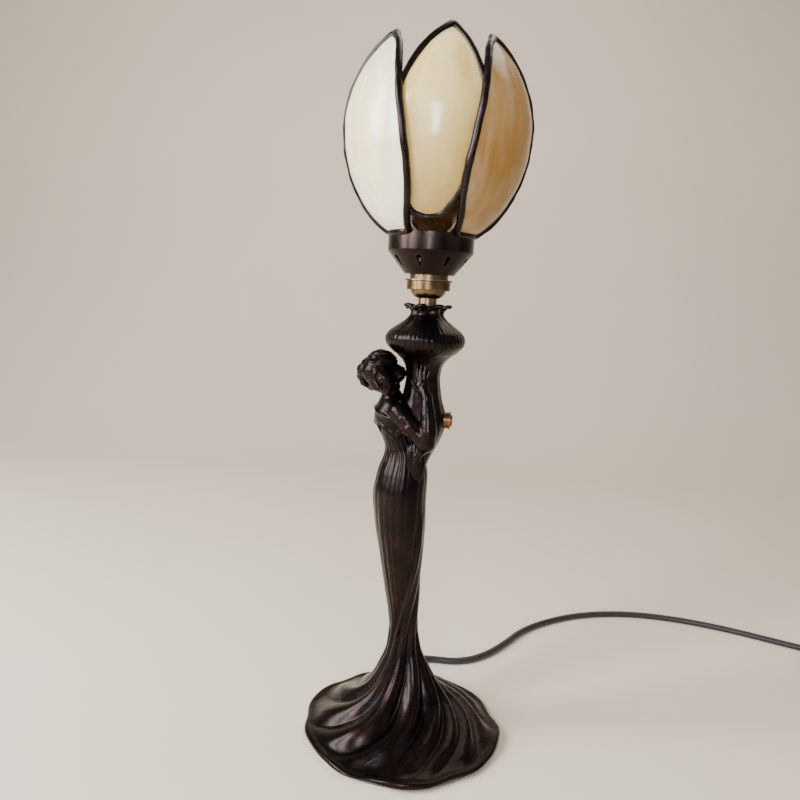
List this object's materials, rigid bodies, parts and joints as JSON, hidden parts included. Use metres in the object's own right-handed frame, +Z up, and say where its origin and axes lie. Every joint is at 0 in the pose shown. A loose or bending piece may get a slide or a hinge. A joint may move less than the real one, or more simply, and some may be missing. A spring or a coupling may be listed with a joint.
{
  "type": "stained glass table lamp",
  "caption": "Table lamp: a cast figure in a swirling dress holds a vase column under a tulip shade of leaded opalescent glass petals, on a bayonet lampholder with a push-button switch.",
  "frame": {"origin": "centre of the foot, on the surface the lamp stands on", "axes": "+Z up along the rod, -Y is the front that the figure's face looks to, +X is the side of the switch"},
  "size_m": [0.6338, 0.3519, 0.5892],
  "materials": {
    "bronze": "dark brown patinated bronze, satin, rubbed on the raised folds",
    "plate_steel": "zinc plated",
    "felt": "dark green baize",
    "brass": "aged brass, satin",
    "switch_brown": "copper-brown, satin",
    "moulded_black": "moulded, fine grain",
    "ceramic": "glazed ceramic",
    "spring_steel": "bright",
    "bulb_glass": "pearl",
    "solder": "dull",
    "dark_patina": "black-brown patina, satin",
    "opal_glass": "opalescent, honey and cream streaks, glossy",
    "black_rubber": "satin PVC",
    "tie_plastic": "matt",
    "plated_pin": "bright brass"
  },
  "bodies": {
    "lamp": {"figure_casting": "bronze", "vase_casting": "bronze", "base_plate": "plate_steel", "base_plate_screws": "plate_steel", "rod_nut": "plate_steel", "rod_washer": "plate_steel", "threaded_rod": "plate_steel", "felt_pad": "felt", "neck_collar": "brass", "lampholder_cap": "brass", "coupling_ring": "brass", "lampholder_sleeve": "brass", "switch_bush": "brass", "terminal_screws": "brass", "switch_body": "moulded_black", "plug_cover": "moulded_black", "plug_base": "moulded_black", "insulator_block": "ceramic", "plunger_spring_left": "spring_steel", "plunger_spring_right": "spring_steel", "strain_relief": "black_rubber", "inner_flex": "black_rubber", "cord_run": "black_rubber", "cord_coil": "black_rubber", "cord_tail": "black_rubber", "cord_tie": "tie_plastic", "plug_pin_line": "plated_pin", "plug_pin_neutral": "plated_pin", "plug_pin_earth": "plated_pin", "plug_screw": "plated_pin", "plug_fuse": "plated_pin"},
    "switch_button_body": {"switch_button": "switch_brown"},
    "shade": {"shade_cup": "dark_patina", "outer_petal_1": "opal_glass", "outer_petal_2": "opal_glass", "outer_petal_3": "opal_glass", "inner_petal_1": "opal_glass", "inner_petal_2": "opal_glass", "inner_petal_3": "opal_glass", "outer_came_1": "dark_patina", "outer_came_2": "dark_patina", "outer_came_3": "dark_patina", "inner_came_1": "dark_patina", "inner_came_2": "dark_patina", "inner_came_3": "dark_patina"},
    "shade_ring_body": {"shade_ring": "brass"},
    "bulb": {"bulb_cap": "brass", "bulb_glass": "bulb_glass", "bulb_stem": "bulb_glass", "bulb_contacts": "solder"},
    "plunger_left": {"contact_plunger_left": "brass"},
    "plunger_right": {"contact_plunger_right": "brass"}
  },
  "joints": [
    {"name": "switch_press", "type": "slide", "parent": "lamp", "child": "switch_button_body", "axis": [-0.9903, 0.1392, 0], "range_m": [0, 0.002], "stiffness_N_per_m": 400},
    {"name": "shade_turn", "type": "hinge", "parent": "lamp", "child": "shade", "pos_m": [0, 0, 0.404], "axis": [0, 0, 1], "continuous": true},
    {"name": "shade_ring_turn", "type": "hinge", "parent": "lamp", "child": "shade_ring_body", "pos_m": [0, 0, 0.409], "axis": [0, 0, 1], "continuous": true},
    {"name": "bulb_turn", "type": "hinge", "parent": "lamp", "child": "bulb", "pos_m": [0, 0, 0.421], "axis": [0, 0, 1], "range_deg": [0, 16]},
    {"name": "plunger_left_press", "type": "slide", "parent": "lamp", "child": "plunger_left", "axis": [0, 0, -1], "range_m": [0, 0.0015], "stiffness_N_per_m": 500, "deforming": ["plunger_spring_left"]},
    {"name": "plunger_right_press", "type": "slide", "parent": "lamp", "child": "plunger_right", "axis": [0, 0, -1], "range_m": [0, 0.0015], "stiffness_N_per_m": 500, "deforming": ["plunger_spring_right"]}
  ]
}
